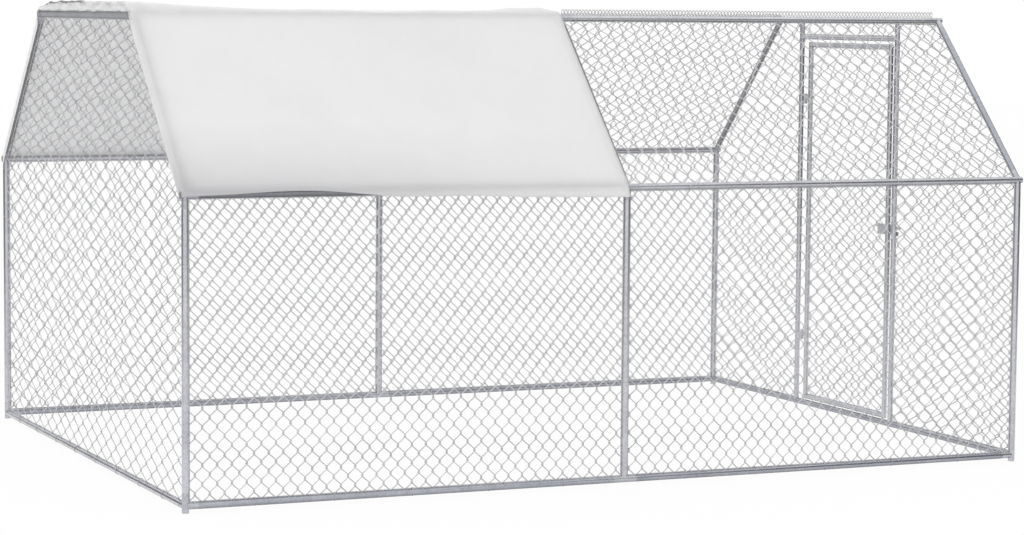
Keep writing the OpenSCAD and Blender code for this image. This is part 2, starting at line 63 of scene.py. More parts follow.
cornerPost = middleOf("post_front_left")
endX, sideY = -cornerPost.x, -cornerPost.y
tubeR = halfSize("post_front_left").x
sillZ = middleOf("sill_front_left").z
eaveZ = middleOf("eave_front_left").z
crownZ = middleOf("crown_rail_front_left").z
crownY = -middleOf("crown_rail_front_left").y
slope = math.atan2(crownZ - eaveZ, sideY - crownY)
slopeLength = math.hypot(crownZ - eaveZ, sideY - crownY)
hingePostY, latchPostY = middleOf("door_post_hinge").y, middleOf("door_post_latch").y
doorPostR = halfSize("door_post_hinge").y
headerZ, headerR = middleOf("door_header").z, halfSize("door_header").z
hingeStileY, latchStileY = middleOf("leaf_hinge_stile").y, middleOf("leaf_latch_stile").y
stileR = halfSize("leaf_hinge_stile").y
leafTopZ, leafBottomZ = middleOf("leaf_top_rail").z, middleOf("leaf_bottom_rail").z
railR = halfSize("leaf_top_rail").z


# Small tools

def clearSelection():
    if bpy.context.object and bpy.context.object.mode != "OBJECT":
        bpy.ops.object.mode_set(mode="OBJECT")
    bpy.ops.object.select_all(action="DESELECT")


def choose(*pieces):
    clearSelection()
    for piece in pieces:
        piece.select_set(True)
    bpy.context.view_layer.objects.active = pieces[0]


def joinPieces(name, pieces):
    choose(*pieces)
    if len(pieces) > 1:
        bpy.ops.object.join()
    piece = bpy.context.object
    piece.name = name
    piece.data.name = name
    return piece


def settle(piece, matrix):  # moves a piece to its place and puts that place in its mesh
    choose(piece)
    piece.matrix_world = matrix
    bpy.ops.object.transform_apply(location=True, rotation=True, scale=True)
    return piece


def drawLine(points):  # a line of edges, drawn from one vertex by extruding it
    clearSelection()
    bpy.ops.mesh.primitive_plane_add()
    line = bpy.context.object
    bpy.ops.object.mode_set(mode="EDIT")
    bpy.ops.mesh.select_all(action="SELECT")
    bpy.ops.mesh.merge(type="CENTER")
    points = [Vector(p) for p in points]
    bpy.ops.transform.translate(value=points[0])
    for start, end in zip(points, points[1:]):
        bpy.ops.mesh.extrude_vertices_move(TRANSFORM_OT_translate={"value": end - start})
    bpy.ops.object.mode_set(mode="OBJECT")
    return line


def repeatPiece(piece, count, step, weld=False, weldReach=0.0002):
    choose(piece)
    bpy.ops.object.modifier_add(type="ARRAY")
    array = piece.modifiers[-1]
    array.count = count
    array.use_relative_offset = False
    array.use_constant_offset = True
    array.constant_offset_displace = step
    array.use_merge_vertices = weld
    array.merge_threshold = weldReach
    bpy.ops.object.modifier_apply(modifier=array.name)


def roundLine(line, diameter):  # turns a line of edges into round wire
    choose(line)
    bpy.ops.object.convert(target="CURVE")
    wire = bpy.context.object
    wire.data.dimensions = "3D"
    wire.data.bevel_depth = diameter / 2
    wire.data.bevel_resolution = 0
    wire.data.use_fill_caps = True
    bpy.ops.object.convert(target="MESH")
    bpy.ops.object.shade_smooth()
    return bpy.context.object


def paint(piece, finish):
    piece.data.materials.clear()
    piece.data.materials.append(finish)


def axes(u, v, at):  # a frame with the given first two directions
    u, v = Vector(u), Vector(v)
    n = u.cross(v)
    return Matrix((
        (u.x, v.x, n.x, at[0]),
        (u.y, v.y, n.y, at[1]),
        (u.z, v.z, n.z, at[2]),
        (0, 0, 0, 1),
    ))


# Camera

viewpoint = {
    "place": (-5.532, -12.918, 2.064),
    "azimuth": 23.60,
    "pitch": -5.027,
    "roll": 0.470,
    "lens": 103.57,  # millimetres, as the sensor's width
    "sensor": 36.0,
    "reach": 200.0,  # how far it sees
}


def makeCamera():
    a, p, r = (math.radians(viewpoint[k]) for k in ("azimuth", "pitch", "roll"))
    look = Vector((math.sin(a) * math.cos(p), math.cos(a) * math.cos(p), math.sin(p)))
    right = Vector((math.cos(a), -math.sin(a), 0))
    up = right.cross(look)
    right, up = math.cos(r) * right + math.sin(r) * up, math.cos(r) * up - math.sin(r) * right
    clearSelection()
    bpy.ops.object.camera_add()
    camera = bpy.context.object
    camera.matrix_world = axes(right, up, viewpoint["place"])
    camera.data.sensor_fit = "HORIZONTAL"
    camera.data.sensor_width = viewpoint["sensor"]
    camera.data.lens = viewpoint["lens"]
    camera.data.clip_end = viewpoint["reach"]
    bpy.context.scene.camera = camera


makeCamera()
print("camera placed")


# Node helpers for materials and the world

def newTree(material):
    material.use_nodes = True
    tree = material.node_tree
    tree.nodes.clear()
    return tree


def addNode(tree, kind, inputs=None, **settings):
    node = tree.nodes.new(kind)
    for key, value in settings.items():
        setattr(node, key, value)
    for key, value in (inputs or {}).items():
        if isinstance(value, bpy.types.NodeSocket):
            tree.links.new(value, node.inputs[key])
        else:
            node.inputs[key].default_value = value
    return node


def mathNode(tree, operation, a, b=0.0, c=0.0, clamp=False):
    node = addNode(tree, "ShaderNodeMath", {0: a, 1: b, 2: c}, operation=operation, use_clamp=clamp)
    return node.outputs[0]


def mixColour(tree, factor, a, b, blend="MIX"):
    mix = addNode(tree, "ShaderNodeMix", {0: factor, 6: a, 7: b}, data_type="RGBA", blend_type=blend)
    return mix.outputs[2]


def backgroundRays(tree):  # camera, glossy and transmission rays see the white background
    path = addNode(tree, "ShaderNodeLightPath")
    seen = mathNode(tree, "MAXIMUM", path.outputs["Is Camera Ray"], path.outputs["Is Glossy Ray"])
    return mathNode(tree, "MAXIMUM", seen, path.outputs["Is Transmission Ray"])


# Studio: white surround, pale floor, soft lamps

studio = {
    "ambient": 0.92,  # what the surround gives to dull surfaces
    "floorSize": 90.0,
    "floorDrop": 0.001,  # below the feet
    "floorColour": (0.95, 0.95, 0.95, 1),
    "floorGlow": 0.94,  # share of plain white in the floor as the camera sees it
    "lamps": [  # name, place, aim, size, power, colour
        ("keyLamp", (-5.0, -8.0, 9.5), (0, 0, 1.0), 5.0, 100, (1.0, 0.99, 0.98)),
        ("fillLamp", (8.0, -6.0, 6.0), (0, 0, 1.0), 5.0, 35, (0.97, 0.98, 1.0)),
        ("rimLamp", (2.0, 9.0, 8.0), (0, 0, 1.2), 5.0, 45, (1.0, 1.0, 1.0)),
        ("sideLamp", (-11.0, 1.0, 4.0), (-2.0, 0, 1.5), 5.0, 220, (1.0, 1.0, 1.0)),
    ],
    "cards": [  # dark cards that only reflections see, for dark flanks on tubes: place, width, height, turn
        ("leftCard", (-7.3, 3.2, 2.8), 15.0, 8.0, 66.4),
        ("rightCard", (7.3, -3.2, 2.8), 15.0, 8.0, 66.4),
    ],
    "cardColour": (0.08, 0.08, 0.09, 1),
}


def makeWorld():
    world = bpy.data.worlds.new("studioSurround")
    bpy.context.scene.world = world
    tree = newTree(world)
    seen = backgroundRays(tree)
    strength = mathNode(tree, "MULTIPLY_ADD", seen, 1 - studio["ambient"], studio["ambient"])
    surround = addNode(tree, "ShaderNodeBackground", {"Color": (1, 1, 1, 1), "Strength": strength})
    addNode(tree, "ShaderNodeOutputWorld", {"Surface": surround.outputs[0]})


def makeFloor():
    clearSelection()
    bpy.ops.mesh.primitive_plane_add(size=studio["floorSize"], location=(0, 0, -studio["floorDrop"]))
    floor = bpy.context.object
    floor.name = "studioFloor"
    pale = bpy.data.materials.new("paleFloor")
    tree = newTree(pale)
    dull = addNode(tree, "ShaderNodeBsdfPrincipled",
                   {"Base Color": studio["floorColour"], "Roughness": 1.0})
    glow = addNode(tree, "ShaderNodeEmission", {"Color": (1, 1, 1, 1), "Strength": 1.0})
    share = mathNode(tree, "MULTIPLY", backgroundRays(tree), studio["floorGlow"])
    mix = addNode(tree, "ShaderNodeMixShader", {0: share, 1: dull.outputs[0], 2: glow.outputs[0]})
    addNode(tree, "ShaderNodeOutputMaterial", {"Surface": mix.outputs[0]})
    paint(floor, pale)


def makeLamps():
    for name, place, aim, size, power, colour in studio["lamps"]:
        clearSelection()
        bpy.ops.object.light_add(type="AREA", location=place)
        lamp = bpy.context.object
        lamp.name = name
        lamp.rotation_euler = (Vector(aim) - Vector(place)).to_track_quat("-Z", "Y").to_euler()
        lamp.data.size = size
        lamp.data.energy = power
        lamp.data.color = colour


def makeCards():
    dark = bpy.data.materials.new("darkCard")
    tree = newTree(dark)
    glow = addNode(tree, "ShaderNodeEmission", {"Color": studio["cardColour"], "Strength": 1.0})
    addNode(tree, "ShaderNodeOutputMaterial", {"Surface": glow.outputs[0]})
    for name, place, width, height, turn in studio["cards"]:
        clearSelection()
        bpy.ops.mesh.primitive_plane_add(size=1, location=place)
        card = bpy.context.object
        card.name = name
        card.scale = (width, height, 1)
        card.rotation_euler = (math.radians(90), 0, math.radians(turn))
        paint(card, dark)
        card.visible_camera = False
        card.visible_diffuse = False
        card.visible_transmission = False
        card.visible_shadow = False


bpy.context.scene.view_settings.view_transform = "Standard"
makeWorld()
makeFloor()
makeLamps()
makeCards()
print("studio lit")


# Finishes

bloomLook = {
    "cloudDetail": 5.0,
    "cloudRough": 0.6,
    "cloudGain": 1.5,
    "cloudStart": -0.35,
    "crystalTone": 0.45,  # share of a crystal's own tone
    "grain": 620.0,  # grains per metre
    "grainDetail": 2.0,
    "reliefShare": 0.5,  # of the crystals, and of the grain
    "reliefDepth": 0.0004,
    "polishSpread": 0.12,  # from dull to bright zinc
    "underShade": 0.9,  # painted shade: undersides darker, upright faces a little
    "sideShade": 0.1,
    "shadeBlue": 1.05,
}


def newGroup(name, inputs, outputs):
    group = bpy.data.node_groups.new(name, "ShaderNodeTree")
    for label, kind, default in inputs:
        socket = group.interface.new_socket(name=label, in_out="INPUT", socket_type=kind)
        socket.default_value = default
    for label, kind in outputs:
        group.interface.new_socket(name=label, in_out="OUTPUT", socket_type=kind)
    return group, group.nodes.new("NodeGroupInput"), group.nodes.new("NodeGroupOutput")


def zincBloomGroup():  # spangled zinc: crystals, cloudy dulling and fine grain, and painted shade on undersides
    group, entry, leave = newGroup(
        "zincBloom",
        [("Vector", "NodeSocketVector", (0, 0, 0)), ("Bright", "NodeSocketColor", (0.6, 0.6, 0.62, 1)),
         ("Dull", "NodeSocketColor", (0.4, 0.4, 0.42, 1)), ("Crystals", "NodeSocketFloat", 90.0),
         ("Clouds", "NodeSocketFloat", 5.0), ("Polish", "NodeSocketFloat", 0.36),
         ("PaintedShadeMask", "NodeSocketFloat", 0.0), ("Shade", "NodeSocketColor", (0.5, 0.5, 0.5, 1))],
        [("Color", "NodeSocketColor"), ("Roughness", "NodeSocketFloat"), ("Height", "NodeSocketFloat")],
    )
    where, spread, share = entry.outputs["Vector"], bloomLook["polishSpread"], bloomLook["reliefShare"]
    crystal = addNode(group, "ShaderNodeTexVoronoi", {"Vector": where, "Scale": entry.outputs["Crystals"]})
    shade = addNode(group, "ShaderNodeSeparateColor", {"Color": crystal.outputs["Color"]}).outputs[0]
    cloud = addNode(group, "ShaderNodeTexNoise", {
        "Vector": where, "Scale": entry.outputs["Clouds"],
        "Detail": bloomLook["cloudDetail"], "Roughness": bloomLook["cloudRough"],
    })
    grain = addNode(group, "ShaderNodeTexNoise", {
        "Vector": where, "Scale": bloomLook["grain"], "Detail": bloomLook["grainDetail"],
    })
    gain, start = bloomLook["cloudGain"], bloomLook["cloudStart"]
    blotch = mathNode(group, "MULTIPLY_ADD", cloud.outputs["Fac"], gain, start)
    amount = mathNode(group, "MULTIPLY_ADD", shade, bloomLook["crystalTone"], blotch, clamp=True)
    tone = mixColour(group, amount, entry.outputs["Dull"], entry.outputs["Bright"])
    # painted shade: the tone is multiplied by the shade colour where the surface faces down
    shaded = mixColour(group, entry.outputs["PaintedShadeMask"], tone, entry.outputs["Shade"], "MULTIPLY")
    dullest = mathNode(group, "ADD", entry.outputs["Polish"], spread / 2)
    rough = mathNode(group, "MULTIPLY_ADD", amount, -spread, dullest)
    fine = mathNode(group, "MULTIPLY", grain.outputs["Fac"], share)
    height = mathNode(group, "MULTIPLY_ADD", shade, share, fine)
    for label, value in (("Color", shaded), ("Roughness", rough), ("Height", height)):
        group.links.new(value, leave.inputs[label])
    return group


zincBloom = zincBloomGroup()

# Bright and dull colour, crystals and clouds per metre, polish, metal, bump, painted shade of undersides
zincFinishes = {
    "galvanisedTube": ((0.66, 0.665, 0.70, 1), (0.46, 0.465, 0.50, 1), 95.0, 4.0, 0.25, 0.88, 0.05, 0.52),
    # roofTube: rafters, crown rails and ties, with a dark painted shade on their undersides
    "roofTube": ((0.70, 0.705, 0.73, 1), (0.52, 0.525, 0.55, 1), 95.0, 4.0, 0.28, 0.80, 0.05, 0.10),
    # a darker copy of the tube finish, painted shade, for the sills and the front right rafter
    "shadedTube": ((0.50, 0.51, 0.555, 1), (0.35, 0.36, 0.405, 1), 95.0, 4.0, 0.28, 0.86, 0.05, 0.45),
    # a darker, duller copy of the tube finish, painted shade, for the crown tie under the crumpled sheet
    "gableTube": ((0.42, 0.425, 0.44, 1), (0.32, 0.325, 0.34, 1), 95.0, 4.0, 0.60, 0.30, 0.05, 0.60),
    "galvanisedJoint": ((0.62, 0.625, 0.66, 1), (0.43, 0.435, 0.47, 1), 110.0, 7.0, 0.30, 0.86, 0.07, 0.52),
    "doorTube": ((0.68, 0.685, 0.72, 1), (0.51, 0.515, 0.55, 1), 100.0, 5.0, 0.26, 0.88, 0.05, 0.52),
    "zincWire": ((0.70, 0.70, 0.71, 1), (0.56, 0.56, 0.57, 1), 160.0, 6.0, 0.45, 0.10, 0.03, 0.85),
    # a dark copy of the tube finish, painted shadow, for tubes under the sheet's edges
    "shadowedTube": ((0.30, 0.305, 0.325, 1), (0.20, 0.205, 0.22, 1), 95.0, 4.0, 0.40, 0.80, 0.05, 0.52),
    "zincHardware": ((0.66, 0.66, 0.68, 1), (0.50, 0.50, 0.52, 1), 140.0, 12.0, 0.30, 0.40, 0.05, 0.60),
}


def zincFinish(name):
    bright, dull, crystals, clouds, polish, metal, bump, shade = zincFinishes[name]
    finish = bpy.data.materials.new(name)
    tree = newTree(finish)
    where = addNode(tree, "ShaderNodeTexCoord")
    facing = addNode(tree, "ShaderNodeSeparateXYZ", {"Vector": where.outputs["Normal"]})
    # painted shade: a mask that grows as the surface turns to face down, a little on upright faces
    undersideShadeMask = mathNode(tree, "MULTIPLY_ADD", facing.outputs["Z"],
                       -bloomLook["underShade"], bloomLook["sideShade"], clamp=True)
    bloom = addNode(tree, "ShaderNodeGroup", {
        "Vector": where.outputs["Object"], "Bright": bright, "Dull": dull,
        "Crystals": crystals, "Clouds": clouds, "Polish": polish,
        "PaintedShadeMask": undersideShadeMask, "Shade": (shade, shade, bloomLook["shadeBlue"] * shade, 1),
    }, node_tree=zincBloom)
    relief = addNode(tree, "ShaderNodeBump", {
        "Strength": bump, "Distance": bloomLook["reliefDepth"], "Height": bloom.outputs["Height"],
    })
    zinc = addNode(tree, "ShaderNodeBsdfPrincipled", {
        "Base Color": bloom.outputs["Color"], "Roughness": bloom.outputs["Roughness"],
        "Normal": relief.outputs[0], "Metallic": metal,
    })
    addNode(tree, "ShaderNodeOutputMaterial", {"Surface": zinc.outputs[0]})
    return finish


finishes = {name: zincFinish(name) for name in zincFinishes}
print("zinc finishes made")


# Netting: flattened wire spirals hooked into each other, each panel held in an edge wire

netting = {
    "wire": 0.0053,
    "leftWire": 0.0044,  # left end
    "lipWire": 0.0034,  # strips that stand up along the open bay's crown rails
    "edgeWire": 0.0040,
    "weave": 0.0046,  # depth between the two runs of a spiral
    "hook": 0.0026,  # how far a bend reaches past its column
    "bend": 0.0036,  # half the height of a bend's upright part
    "sideCell": (0.0635, 0.0785),
    "backCell": (0.0801, 0.0990),
    "slopeCell": (0.0680, 0.100),
    "leftCell": (0.155, 0.082),
    "endCell": (0.146, 0.080),
    "lipCell": (0.017, 0.0293),
    "lipHeights": (0.044, 0.027),  # front and back
    "gap": 0.0003,  # between an edge wire and its tube
    "spring": 0.006,  # rise of the crown's netting at its middle
    "springCuts": 20,
    "springShape": 3,  # how flat the risen netting is
}


def insetOutline(points, insets):  # moves each side of an outline inwards, counterclockwise
    sides = []
    for i, inset in enumerate(insets):
        a, b = Vector(points[i]), Vector(points[(i + 1) % len(points)])
        along = (b - a).normalized()
        inward = Vector((-along.y, along.x))
        sides.append((a + inset * inward, along, inward))
    corners = []
    for i, (at, along, inward) in enumerate(sides):
        before, run = sides[i - 1][:2]
        corners.append(before + (at - before).dot(inward) / run.dot(inward) * run)
    return corners, sides


def springUp(piece, rise, reach):
    for vertex in piece.data.vertices:
        vertex.co.z += rise * (1 - abs(vertex.co.y / reach) ** netting["springShape"])


def weaveNet(points, insets, cell, place, rise=0.0, edged=True, shift=(0, 0), wire="wire"):
    step, pitch = cell[0] / 2, cell[1]
    hook, bend, half = netting["hook"], netting["bend"], netting["weave"] / 2
    corners, sides = insetOutline(points, [i + netting["gap"] + netting["edgeWire"] / 2 for i in insets])
    low = Vector((min(c.x for c in corners), min(c.y for c in corners)))
    high = Vector((max(c.x for c in corners), max(c.y for c in corners)))
    pairs = math.ceil((high.x - low.x) / cell[0]) + 2
    turns = math.ceil((high.y - low.y) / pitch) + 2
    startX = (low.x + high.x - pairs * cell[0]) / 2 + shift[0]
    startY = (low.y + high.y - turns * pitch) / 2 + shift[1]
    net = drawLine([
        (startX - hook, startY + bend, half),
        (startX + step + hook, startY + pitch / 2 - bend, half),
        (startX + step + hook, startY + pitch / 2 + bend, -half),
        (startX - hook, startY + pitch - bend, -half),
        (startX - hook, startY + pitch + bend, half),
    ])
    repeatPiece(net, turns, (0, pitch, 0), weld=True)
    repeatPiece(net, 2, (step, pitch / 2, 0))
    repeatPiece(net, pairs, (cell[0], 0, 0))
    bpy.ops.object.mode_set(mode="EDIT")
    for at, along, inward in sides:
        bpy.ops.mesh.select_all(action="SELECT")
        bpy.ops.mesh.bisect(plane_co=(at.x, at.y, 0), plane_no=(-inward.x, -inward.y, 0), clear_outer=True)
    bpy.ops.object.mode_set(mode="OBJECT")
    if not edged:
        return settle(roundLine(net, netting[wire]), place)
    edge = drawLine([(c.x, c.y, 0) for c in corners + corners[:1]])
    if rise:
        bpy.ops.object.mode_set(mode="EDIT")
        bpy.ops.mesh.select_all(action="SELECT")
        bpy.ops.mesh.subdivide(number_cuts=netting["springCuts"])
        bpy.ops.object.mode_set(mode="OBJECT")
        springUp(net, rise, high.y)
        springUp(edge, rise, high.y)
    net = roundLine(net, netting[wire])
    edge = roundLine(edge, netting["edgeWire"])
    return settle(joinPieces("netPanel", [net, edge]), place)


def carryOn(cell):  # shift that lets a right-hand wall carry on the pattern of the left-hand one
    return round(endX / cell[0]) * cell[0] - endX, 0


def rectangle(u0, u1, v0, v1):
    return [(u0, v0), (u1, v0), (u1, v1), (u0, v1)]


def crownLips(cell):  # strips of fine mesh along the open bay's crown rails
    lipY = crownY - tubeR - netting["gap"] - netting["edgeWire"]
    bends = (0, cell[1] / 4)  # the front strip's bends lie at its foot and top
    lips = []
    for y, height in zip((-lipY, lipY), netting["lipHeights"]):
        upright = axes((1, 0, 0), (0, 0, 1), (0, y, crownZ))
        strip = rectangle(0, endX, 0, height)
        lips.append((strip, [0, tubeR, 0, tubeR], cell, upright, 0, False, bends, "lipWire"))
    return lips


def makeNetting():
    cells = ("sideCell", "endCell", "backCell", "slopeCell", "leftCell")
    side, end, rear, roof, left = (netting[cell] for cell in cells)
    front = axes((1, 0, 0), (0, 0, 1), (0, -sideY, 0))
    back = axes((1, 0, 0), (0, 0, 1), (0, sideY, 0))
    leftEnd = axes((0, 1, 0), (0, 0, 1), (-endX, 0, 0))
    doorEnd = axes((0, 1, 0), (0, 0, 1), (endX, 0, 0))
    frontSlope = axes((1, 0, 0), (0, math.cos(slope), math.sin(slope)), (0, -sideY, eaveZ))
    backSlope = axes((-1, 0, 0), (0, -math.cos(slope), math.sin(slope)), (0, sideY, eaveZ))
    crown = axes((1, 0, 0), (0, 1, 0), (0, 0, crownZ))
    wall = [rectangle(-endX, 0, sillZ, eaveZ), rectangle(0, endX, sillZ, eaveZ)]
    pitch = [rectangle(-endX, 0, 0, slopeLength), rectangle(0, endX, 0, slopeLength)]
    top = [rectangle(-endX, 0, -crownY, crownY), rectangle(0, endX, -crownY, crownY)]
    gable = [(sideY, eaveZ), (crownY, crownZ), (-crownY, crownZ), (-sideY, eaveZ)]
    leftOutline = [(-sideY, sillZ), (sideY, sillZ), *gable]
    doorFront = [(-sideY, sillZ), (latchPostY, sillZ), (latchPostY, crownZ), *gable[2:]]
    doorBack = [(hingePostY, sillZ), (sideY, sillZ), *gable[:2], (hingePostY, crownZ)]
    overDoor = rectangle(latchPostY, hingePostY, headerZ, crownZ)
    leaf = rectangle(latchStileY, hingeStileY, leafBottomZ, leafTopZ)
    four = [tubeR] * 4
    panels = {  # piece: node, body, woven parts
        "frontLeftNetting": ("net_front_left", "frame", [(wall[0], four, side, front)]),
        "frontRightNetting": ("net_front_right", "frame", [
            (wall[1], four, side, front, 0, True, carryOn(side))]),
        "backLeftNetting": ("net_back_left", "frame", [(wall[0], four, rear, back)]),
        "backRightNetting": ("net_back_right", "frame", [
            (wall[1], four, rear, back, 0, True, carryOn(rear))]),
        "leftEndNetting": ("net_left_end", "frame", [
            (leftOutline, [tubeR] * 6, left, leftEnd, 0, True, (0, 0), "leftWire")]),
        "doorEndFrontNetting": ("net_door_end_front", "frame", [
            (doorFront, [tubeR, doorPostR, tubeR, tubeR, tubeR], end, doorEnd)]),
        "doorEndBackNetting": ("net_door_end_back", "frame", [
            (doorBack, [tubeR, tubeR, tubeR, tubeR, doorPostR], end, doorEnd)]),
        "overDoorNetting": ("net_over_door", "frame", [
            (overDoor, [headerR, doorPostR, tubeR, doorPostR], end, doorEnd)]),
        "leafNetting": ("net_leaf", "door", [
            (leaf, [railR, stileR, railR, stileR], end, doorEnd)]),
        "frontSlopeNetting": ("net_front_slope", "frame", [(p, four, roof, frontSlope) for p in pitch]),
        "backSlopeNetting": ("net_back_slope", "frame", [(p, four, roof, backSlope) for p in pitch]),
        "crownNetting": ("net_crown", "frame", [
            *[(p, four, side, crown, netting["spring"]) for p in top], *crownLips(netting["lipCell"])]),
    }
    for name, (node, body, parts) in panels.items():
        net = joinPieces(name, [weaveNet(*part) for part in parts])
        paint(net, finishes["zincWire"])
        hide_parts(node)
        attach(net, body)
        print("netting woven:", name, len(net.data.polygons), "faces")


makeNetting()


# Wire ties that hold the netting's edge wires to the tubes

ties = {
    "wire": 0.0019,
    "corners": 12,  # corners in one turn
    "turns": 1.2,
    "start": -0.2,  # in half turns from the netting's side
    "lead": 0.004,  # how far one turn moves along its tube
    "clear": 0.0002,  # between a tie and its tube
    "bulge": 0.0044,  # extra reach round the edge wire
    "pinch": 6,  # how sharply a tie draws in beside the edge wire
    "fromJoint": 0.12,
    "onRail": 5,  # ties on a bay's sill, eave or crown rail
    "onPost": 3,
    "onRafter": 3,
    "onLeftSill": 8,
    "onDoorSill": (3, 2),  # latch side, hinge side
    "onDoorPost": 5,
    "onStile": 4,
    "onLeafRail": 2,
}


def wrapTies(start, end, toNet, radius, count):  # evenly along a tube, clear of its joints
    start, end, toNet = Vector(start), Vector(end), Vector(toNet)
    along = (end - start).normalized()
    start, end = start + along * ties["fromJoint"], end - along * ties["fromJoint"]
    spacing = (end - start).length / count
    points = []
    for i in range(round(ties["corners"] * ties["turns"]) + 1):
        turned = i / ties["corners"]
        angle = math.pi * (2 * turned + ties["start"])
        bulge = ties["bulge"] * max(0, math.cos(angle)) ** ties["pinch"]
        reach = radius + ties["wire"] / 2 + ties["clear"] + bulge
        points.append((reach * math.cos(angle), reach * math.sin(angle), ties["lead"] * turned))
    line = drawLine(points)
    if count > 1:
        repeatPiece(line, count, (0, 0, spacing))
    line = roundLine(line, ties["wire"])
    return settle(line, axes(toNet, along.cross(toNet), start + along * spacing / 2))


def makeTies():
    up, down, right, left, rear, fore = (Vector(v) for v in (
        (0, 0, 1), (0, 0, -1), (1, 0, 0), (-1, 0, 0), (0, 1, 0), (0, -1, 0)))
    rail, post, stile, leafRail = (ties[k] for k in ("onRail", "onPost", "onStile", "onLeafRail"))
    latchSill, hingeSill = ties["onDoorSill"]
    onFrame = []  # start and end of the tube, side of the netting, radius, count
    for y, inward in ((-sideY, rear), (sideY, fore)):
        crownEdge = math.copysign(crownY, y)
        for x in (-endX, 0):
            onFrame.append(((x, y, sillZ), (x + endX, y, sillZ), up, tubeR, rail))
        for x, beside in ((-endX, right), (0, right), (endX, left)):
            onFrame.append(((x, y, sillZ), (x, y, eaveZ), beside, tubeR, post))
        onFrame += [
            ((0, y, eaveZ), (endX, y, eaveZ), down, tubeR, rail),
            ((endX, y, eaveZ), (endX, crownEdge, crownZ), left, tubeR, ties["onRafter"]),
            ((0, crownEdge, crownZ), (endX, crownEdge, crownZ), inward, tubeR, rail),
        ]
    onFrame += [
        ((-endX, -sideY, sillZ), (-endX, sideY, sillZ), up, tubeR, ties["onLeftSill"]),
        ((endX, -sideY, sillZ), (endX, latchPostY, sillZ), up, tubeR, latchSill),
        ((endX, hingePostY, sillZ), (endX, sideY, sillZ), up, tubeR, hingeSill),
        ((endX, latchPostY, sillZ), (endX, latchPostY, crownZ), fore, doorPostR, ties["onDoorPost"]),
        ((endX, hingePostY, sillZ), (endX, hingePostY, crownZ), rear, doorPostR, ties["onDoorPost"]),
    ]
    onLeaf = [
        ((endX, latchStileY, leafBottomZ), (endX, latchStileY, leafTopZ), rear, stileR, stile),
        ((endX, hingeStileY, leafBottomZ), (endX, hingeStileY, leafTopZ), fore, stileR, stile),
        ((endX, latchStileY, leafTopZ), (endX, hingeStileY, leafTopZ), down, railR, leafRail),
        ((endX, latchStileY, leafBottomZ), (endX, hingeStileY, leafBottomZ), up, railR, leafRail),
    ]
    for name, body, rows in (("frameTies", "frame", onFrame), ("leafTies", "door", onLeaf)):
        piece = joinPieces(name, [wrapTies(*row) for row in rows])
        paint(piece, finishes["zincWire"])
        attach(piece, body)
        print("ties wrapped:", name, len(piece.data.polygons), "faces")


makeTies()


# Screws that lock the tubes on their connectors, on the inner sides of the tubes

screw = {
    "sides": 12,
    "flange": 0.0056,
    "flangeHeight": 0.0012,
    "shoulder": 0.0016,  # width of the flange outside the head
    "headHeight": 0.0030,
    "taper": 0.88,
    "rim": 0.0012,
    "recess": 0.0010,
    "softUnder": 35,  # edges under this angle look rounded
    "sunk": 0.0004,  # flange in the tube
    "fromJoint": 0.080,
}


def modelScrew():
    clearSelection()
    bpy.ops.mesh.primitive_cylinder_add(
        vertices=screw["sides"], radius=screw["flange"],
        depth=2 * screw["flangeHeight"], location=(0, 0, 0))
    piece = bpy.context.object
    bpy.ops.object.mode_set(mode="EDIT")
    bpy.ops.mesh.select_mode(type="FACE")
    bpy.ops.mesh.select_all(action="DESELECT")
    bpy.ops.object.mode_set(mode="OBJECT")
    for face in piece.data.polygons:
        face.select = face.normal.z > 0.9
    bpy.ops.object.mode_set(mode="EDIT")
    bpy.ops.mesh.inset(thickness=screw["shoulder"])
    bpy.ops.mesh.extrude_faces_indiv()
    bpy.ops.transform.translate(value=(0, 0, screw["headHeight"]))
    bpy.ops.transform.resize(value=(screw["taper"], screw["taper"], 1))
    bpy.ops.mesh.inset(thickness=screw["rim"])
    bpy.ops.mesh.extrude_faces_indiv()
    bpy.ops.transform.translate(value=(0, 0, -screw["recess"]))
    bpy.ops.mesh.select_mode(type="VERT")
    bpy.ops.object.mode_set(mode="OBJECT")
    bpy.ops.object.shade_smooth_by_angle(angle=math.radians(screw["softUnder"]))
    return piece


def makeScrews():
    spots = []

    def onTube(start, end, inward):
        start, end = Vector(start), Vector(end)
        along = (end - start).normalized()
        for at in (start + along * screw["fromJoint"], end - along * screw["fromJoint"]):
            spots.append((at, along, Vector(inward)))

    for y in (-sideY, sideY):
        inward = (0, -math.copysign(1, y), 0)
        under = (0, -math.copysign(math.sin(slope), y), -math.cos(slope))
        crownEdge = math.copysign(crownY, y)
        for x in (-endX, 0, endX):
            onTube((x, y, sillZ), (x, y, eaveZ), inward)
            onTube((x, y, eaveZ), (x, crownEdge, crownZ), under)
        for x in (-endX, 0):
            onTube((x, y, sillZ), (x + endX, y, sillZ), inward)
            onTube((x, y, eaveZ), (x + endX, y, eaveZ), inward)
            onTube((x, crownEdge, crownZ), (x + endX, crownEdge, crownZ), (0, 0, -1))
    for x in (-endX, endX):
        onTube((x, -sideY, sillZ), (x, sideY, sillZ), (-math.copysign(1, x), 0, 0))
    for x in (-endX, 0, endX):
        onTube((x, -crownY, crownZ), (x, crownY, crownZ), (0, 0, -1))
    pattern = modelScrew()
    copies = []
    for at, along, inward in spots:
        copy = pattern.copy()
        copy.data = pattern.data.copy()
        bpy.context.scene.collection.objects.link(copy)
        seat = at + inward * (tubeR - screw["sunk"])
        copies.append(settle(copy, axes(along, inward.cross(along), seat)))
    bpy.data.objects.remove(pattern)
    piece = joinPieces("tubeScrews", copies)
    paint(piece, finishes["zincHardware"])
    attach(piece, "frame")
    print("screws driven:", len(spots))


makeScrews()


# Tarpaulin: one sheet over the left bay, turned down over the end rafters and crumpled on the crown

